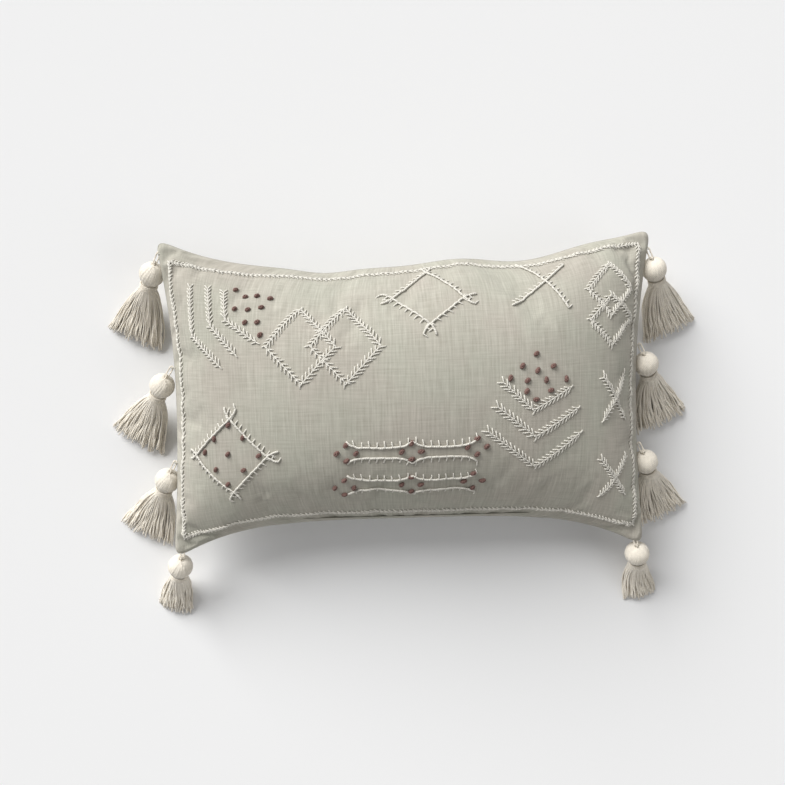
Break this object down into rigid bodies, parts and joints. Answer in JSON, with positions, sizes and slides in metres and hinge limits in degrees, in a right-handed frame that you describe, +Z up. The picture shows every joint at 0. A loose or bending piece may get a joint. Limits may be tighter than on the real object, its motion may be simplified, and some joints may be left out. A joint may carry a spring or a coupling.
{
  "type": "throw pillow",
  "caption": "Rectangular lumbar throw pillow lying on its back, with an embroidered linen cover, a zipped seam, a stuffed insert and yarn tassels along its short sides.",
  "frame": {"origin": "centre of the flat patch on the back panel that the pillow rests on", "axes": "+X along the pillow's length, +Y along its height towards the edge opposite the zip, +Z up through the embroidered front"},
  "size_m": [0.651, 0.4103, 0.1368],
  "materials": {
    "cover_linen": "plain-woven greige linen with slubs",
    "insert_fabric": "white cotton sheeting",
    "fibre_filling": "loose white polyester fibre",
    "sewing_thread": "matt spun thread",
    "embroidery_yarn": "cream cotton yarn",
    "knot_yarn": "dark brown cotton yarn",
    "tassel_yarn": "soft cream cotton yarn",
    "zip_coil": "moulded nylon coil",
    "zip_tape": "woven tape",
    "zip_metal": "painted to match the cover"
  },
  "bodies": {
    "cover": {"cover_front_panel": "cover_linen", "cover_back_panel": "cover_linen", "insert_casing_front": "insert_fabric", "insert_casing_back": "insert_fabric", "insert_filling": "fibre_filling", "seam_thread": "sewing_thread", "zip_coil_front": "zip_coil", "zip_coil_back": "zip_coil", "zip_tape_front": "zip_tape", "zip_tape_back": "zip_tape", "zip_stops": "zip_metal", "tassel_bar_tacks": "sewing_thread", "border_stitching": "embroidery_yarn", "left_chevrons": "embroidery_yarn", "paired_diamonds": "embroidery_yarn", "top_diamond": "embroidery_yarn", "large_cross": "embroidery_yarn", "figure_eight": "embroidery_yarn", "right_chevrons": "embroidery_yarn", "small_crosses": "embroidery_yarn", "corner_diamond": "embroidery_yarn", "centre_bands": "embroidery_yarn", "yarn_knots": "knot_yarn"},
    "zip_slider": {"zip_slider": "zip_metal"},
    "zip_pull": {"zip_pull_tab": "zip_metal"},
    "tassel_left_1_hanger": {"tassel_left_1_loop": "tassel_yarn"},
    "tassel_left_1": {"tassel_left_1_yarn": "tassel_yarn", "tassel_left_1_binding": "tassel_yarn"},
    "tassel_left_2_hanger": {"tassel_left_2_loop": "tassel_yarn"},
    "tassel_left_2": {"tassel_left_2_yarn": "tassel_yarn", "tassel_left_2_binding": "tassel_yarn"},
    "tassel_left_3_hanger": {"tassel_left_3_loop": "tassel_yarn"},
    "tassel_left_3": {"tassel_left_3_yarn": "tassel_yarn", "tassel_left_3_binding": "tassel_yarn"},
    "tassel_left_4_hanger": {"tassel_left_4_loop": "tassel_yarn"},
    "tassel_left_4": {"tassel_left_4_yarn": "tassel_yarn", "tassel_left_4_binding": "tassel_yarn"},
    "tassel_right_1_hanger": {"tassel_right_1_loop": "tassel_yarn"},
    "tassel_right_1": {"tassel_right_1_yarn": "tassel_yarn", "tassel_right_1_binding": "tassel_yarn"},
    "tassel_right_2_hanger": {"tassel_right_2_loop": "tassel_yarn"},
    "tassel_right_2": {"tassel_right_2_yarn": "tassel_yarn", "tassel_right_2_binding": "tassel_yarn"},
    "tassel_right_3_hanger": {"tassel_right_3_loop": "tassel_yarn"},
    "tassel_right_3": {"tassel_right_3_yarn": "tassel_yarn", "tassel_right_3_binding": "tassel_yarn"},
    "tassel_right_4_hanger": {"tassel_right_4_loop": "tassel_yarn"},
    "tassel_right_4": {"tassel_right_4_yarn": "tassel_yarn", "tassel_right_4_binding": "tassel_yarn"}
  },
  "joints": [
    {"name": "zip_open", "type": "slide", "parent": "cover", "child": "zip_slider", "axis": [-1, 0, 0], "range_m": [0, 0.254]},
    {"name": "zip_pull_flip", "type": "hinge", "parent": "zip_slider", "child": "zip_pull", "pos_m": [0.122, -0.1384, 0.058], "axis": [0, 0, 1], "range_deg": [0, 170]},
    {"name": "tassel_left_1_swing", "type": "hinge", "parent": "cover", "child": "tassel_left_1_hanger", "pos_m": [-0.26568, 0.15714, 0.058], "axis": [0, 0, -1], "range_deg": [0, 120]},
    {"name": "tassel_left_1_lift", "type": "hinge", "parent": "tassel_left_1_hanger", "child": "tassel_left_1", "pos_m": [-0.27007, 0.14727, 0.058], "axis": [-0.9136, 0.4067, 0], "range_deg": [0, 75]},
    {"name": "tassel_left_2_swing", "type": "hinge", "parent": "cover", "child": "tassel_left_2_hanger", "pos_m": [-0.25642, 0.0339, 0.058], "axis": [0, 0, -1], "range_deg": [0, 60]},
    {"name": "tassel_left_2_lift", "type": "hinge", "parent": "tassel_left_2_hanger", "child": "tassel_left_2", "pos_m": [-0.26215, 0.02474, 0.058], "axis": [-0.848, 0.5299, 0], "range_deg": [0, 75]},
    {"name": "tassel_left_3_swing", "type": "hinge", "parent": "cover", "child": "tassel_left_3_hanger", "pos_m": [-0.25649, -0.06995, 0.058], "axis": [0, 0, -1], "range_deg": [0, 60]},
    {"name": "tassel_left_3_lift", "type": "hinge", "parent": "tassel_left_3_hanger", "child": "tassel_left_3", "pos_m": [-0.26139, -0.07957, 0.058], "axis": [-0.891, 0.454, 0], "range_deg": [0, 75]},
    {"name": "tassel_left_4_swing", "type": "hinge", "parent": "cover", "child": "tassel_left_4_hanger", "pos_m": [-0.25106, -0.16664, 0.058], "axis": [0, 0, -1], "range_deg": [-20, 50]},
    {"name": "tassel_left_4_lift", "type": "hinge", "parent": "tassel_left_4_hanger", "child": "tassel_left_4", "pos_m": [-0.25386, -0.17707, 0.058], "axis": [-0.9659, 0.2588, 0], "range_deg": [0, 75]},
    {"name": "tassel_right_1_swing", "type": "hinge", "parent": "cover", "child": "tassel_right_1_hanger", "pos_m": [0.26571, 0.15236, 0.058], "axis": [0, 0, 1], "range_deg": [0, 120]},
    {"name": "tassel_right_1_lift", "type": "hinge", "parent": "tassel_right_1_hanger", "child": "tassel_right_1", "pos_m": [0.2701, 0.14249, 0.058], "axis": [-0.9136, -0.4067, 0], "range_deg": [0, 75]},
    {"name": "tassel_right_2_swing", "type": "hinge", "parent": "cover", "child": "tassel_right_2_hanger", "pos_m": [0.25696, 0.04786, 0.058], "axis": [0, 0, 1], "range_deg": [0, 60]},
    {"name": "tassel_right_2_lift", "type": "hinge", "parent": "tassel_right_2_hanger", "child": "tassel_right_2", "pos_m": [0.26135, 0.03799, 0.058], "axis": [-0.9136, -0.4067, 0], "range_deg": [0, 75]},
    {"name": "tassel_right_3_swing", "type": "hinge", "parent": "cover", "child": "tassel_right_3_hanger", "pos_m": [0.25636, -0.06195, 0.058], "axis": [0, 0, 1], "range_deg": [0, 60]},
    {"name": "tassel_right_3_lift", "type": "hinge", "parent": "tassel_right_3_hanger", "child": "tassel_right_3", "pos_m": [0.26075, -0.07182, 0.058], "axis": [-0.9136, -0.4067, 0], "range_deg": [0, 75]},
    {"name": "tassel_right_4_swing", "type": "hinge", "parent": "cover", "child": "tassel_right_4_hanger", "pos_m": [0.25106, -0.16664, 0.058], "axis": [0, 0, 1], "range_deg": [-20, 50]},
    {"name": "tassel_right_4_lift", "type": "hinge", "parent": "tassel_right_4_hanger", "child": "tassel_right_4", "pos_m": [0.25386, -0.17707, 0.058], "axis": [-0.9659, -0.2588, 0], "range_deg": [0, 75]}
  ]
}
